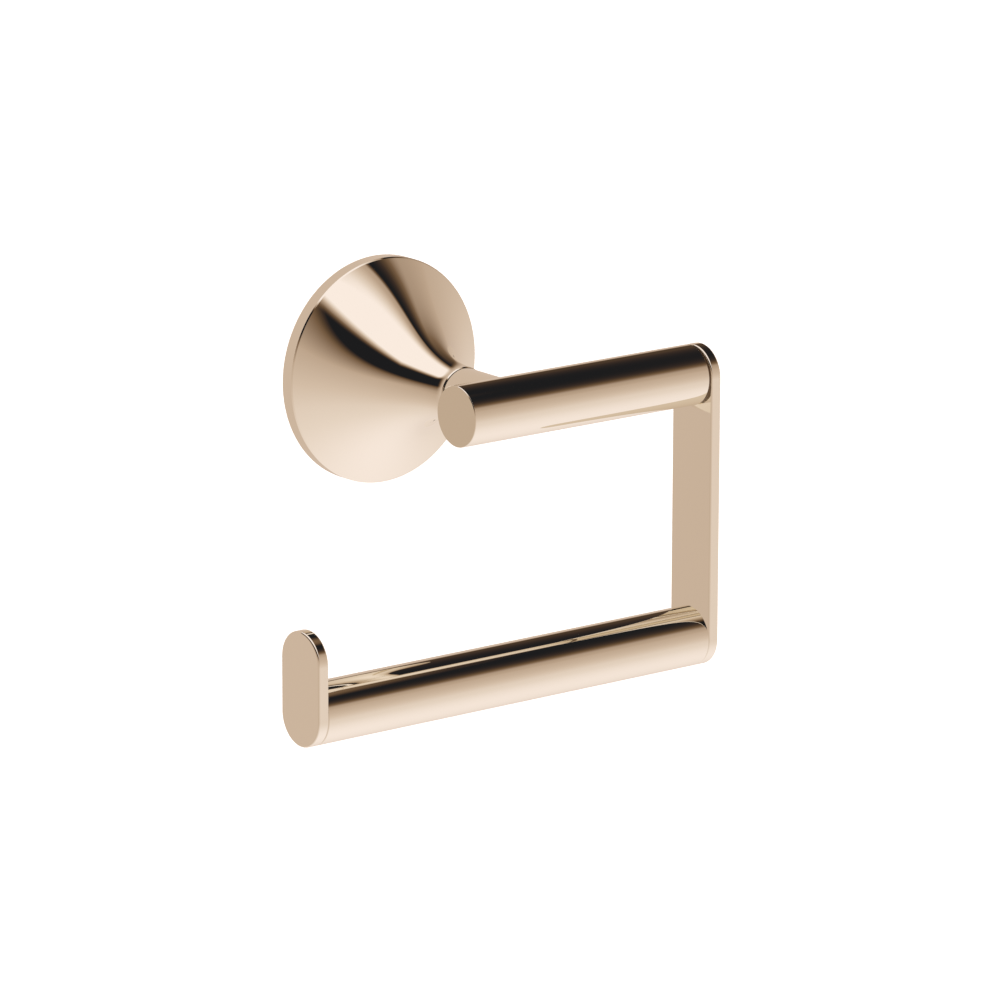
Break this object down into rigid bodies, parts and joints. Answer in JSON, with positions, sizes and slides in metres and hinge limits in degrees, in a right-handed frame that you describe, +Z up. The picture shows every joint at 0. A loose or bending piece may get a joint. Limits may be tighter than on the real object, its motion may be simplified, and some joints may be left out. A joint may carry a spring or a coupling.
{
  "type": "toilet paper holder",
  "caption": "Wall-mounted open toilet paper holder: a trumpet-shaped round flange, a short upper bar, a flat side strap and a long lower bar with an upright end stop.",
  "frame": {"origin": "centre of the flange on the wall plane, midway between the two wall screw slots, which is also the flange's axis", "axes": "+X to the right seen from the room, +Y into the wall, +Z up; the holder stands out from the wall along -Y"},
  "size_m": [0.13, 0.064, 0.1084],
  "materials": {
    "polished_bronze": "mirror polished, light bronze plated",
    "raw_brass": "turned, unplated",
    "plated_steel": "zinc plated",
    "stainless_steel": "machined"
  },
  "bodies": {
    "holder": {"arm_pin": "stainless_steel", "arm_stub": "polished_bronze", "arm_stud": "stainless_steel", "bracket_post": "plated_steel", "flange_bell": "polished_bronze", "flange_core": "raw_brass", "lower_bar": "polished_bronze", "lower_bar_stop_insert": "raw_brass", "lower_bar_strap_insert": "raw_brass", "lower_strap_pin": "stainless_steel", "lower_strap_stud": "stainless_steel", "post_screw": "stainless_steel", "stop_pin": "stainless_steel", "stop_plate": "polished_bronze", "stop_stud": "stainless_steel", "strap_plate": "polished_bronze", "upper_bar": "polished_bronze", "upper_bar_cap": "polished_bronze", "upper_bar_insert": "raw_brass", "upper_bar_saddle": "raw_brass", "upper_strap_pin": "stainless_steel", "upper_strap_stud": "stainless_steel", "wall_plate": "plated_steel"},
    "grub_screw": {"grub_screw": "stainless_steel"}
  },
  "joints": [
    {"name": "grub_screw_turn", "type": "hinge", "parent": "holder", "child": "grub_screw", "pos_m": [0, -0.00185, -0.0266], "axis": [0, 0, -1], "range_deg": [0, 720]}
  ]
}
